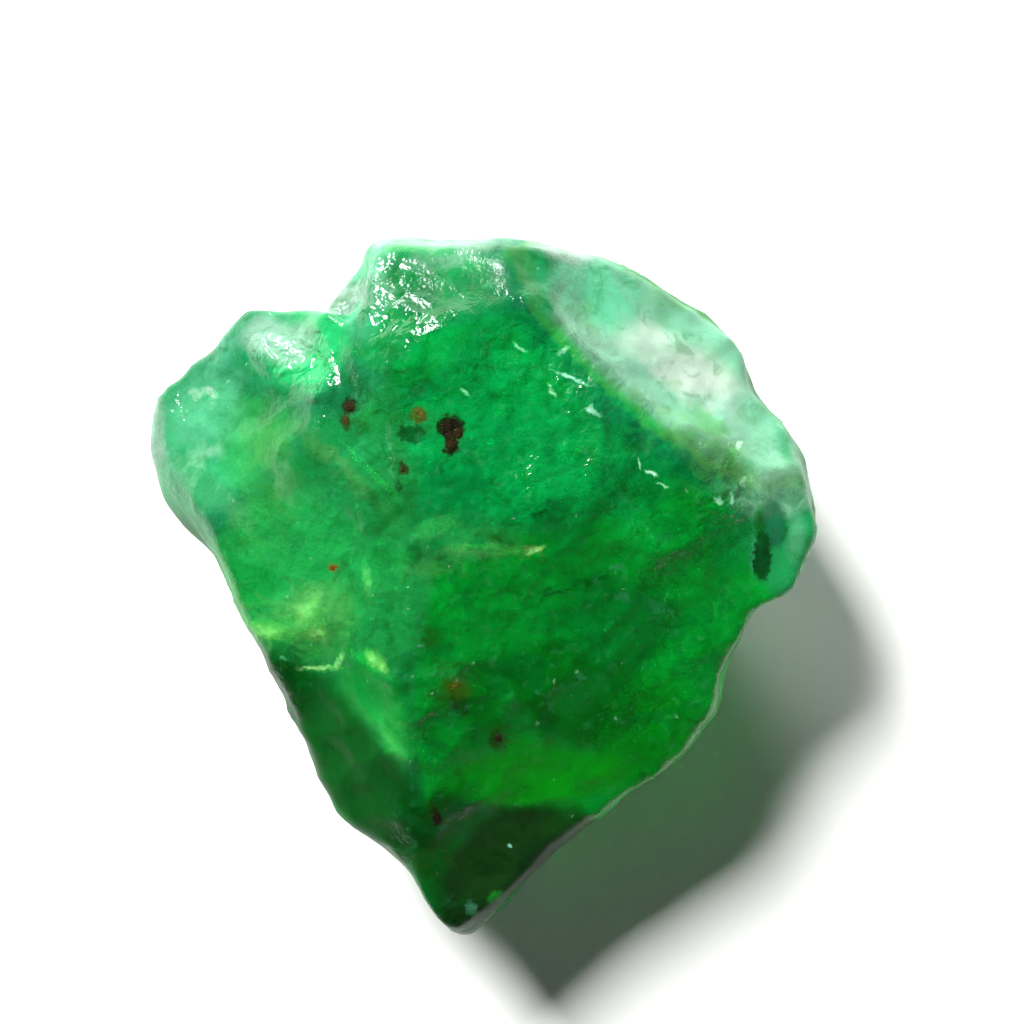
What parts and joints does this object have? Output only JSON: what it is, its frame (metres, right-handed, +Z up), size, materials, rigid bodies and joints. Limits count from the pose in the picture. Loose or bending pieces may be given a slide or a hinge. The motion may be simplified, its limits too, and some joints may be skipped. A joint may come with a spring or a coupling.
{
  "type": "raw fluorite",
  "caption": "Rough lump of clear green fluorite with worn faces, shell-shaped breaks and a flat cleavage face to rest on.",
  "frame": {"origin": "in the plane of the cleavage face that the lump rests on, under the middle of its bounding box", "axes": "+Z up, out of the broad worn face; +Y from the pointed end towards the wide end; +X towards the large shell-shaped break"},
  "size_m": [0.0428, 0.0444, 0.023],
  "materials": {
    "fluorite": "clear green crystal, wet-looking worn surface, milky where it is thin, with inner cleavage veils"
  },
  "bodies": {
    "root": {"fluorite": "fluorite"}
  },
  "joints": []
}
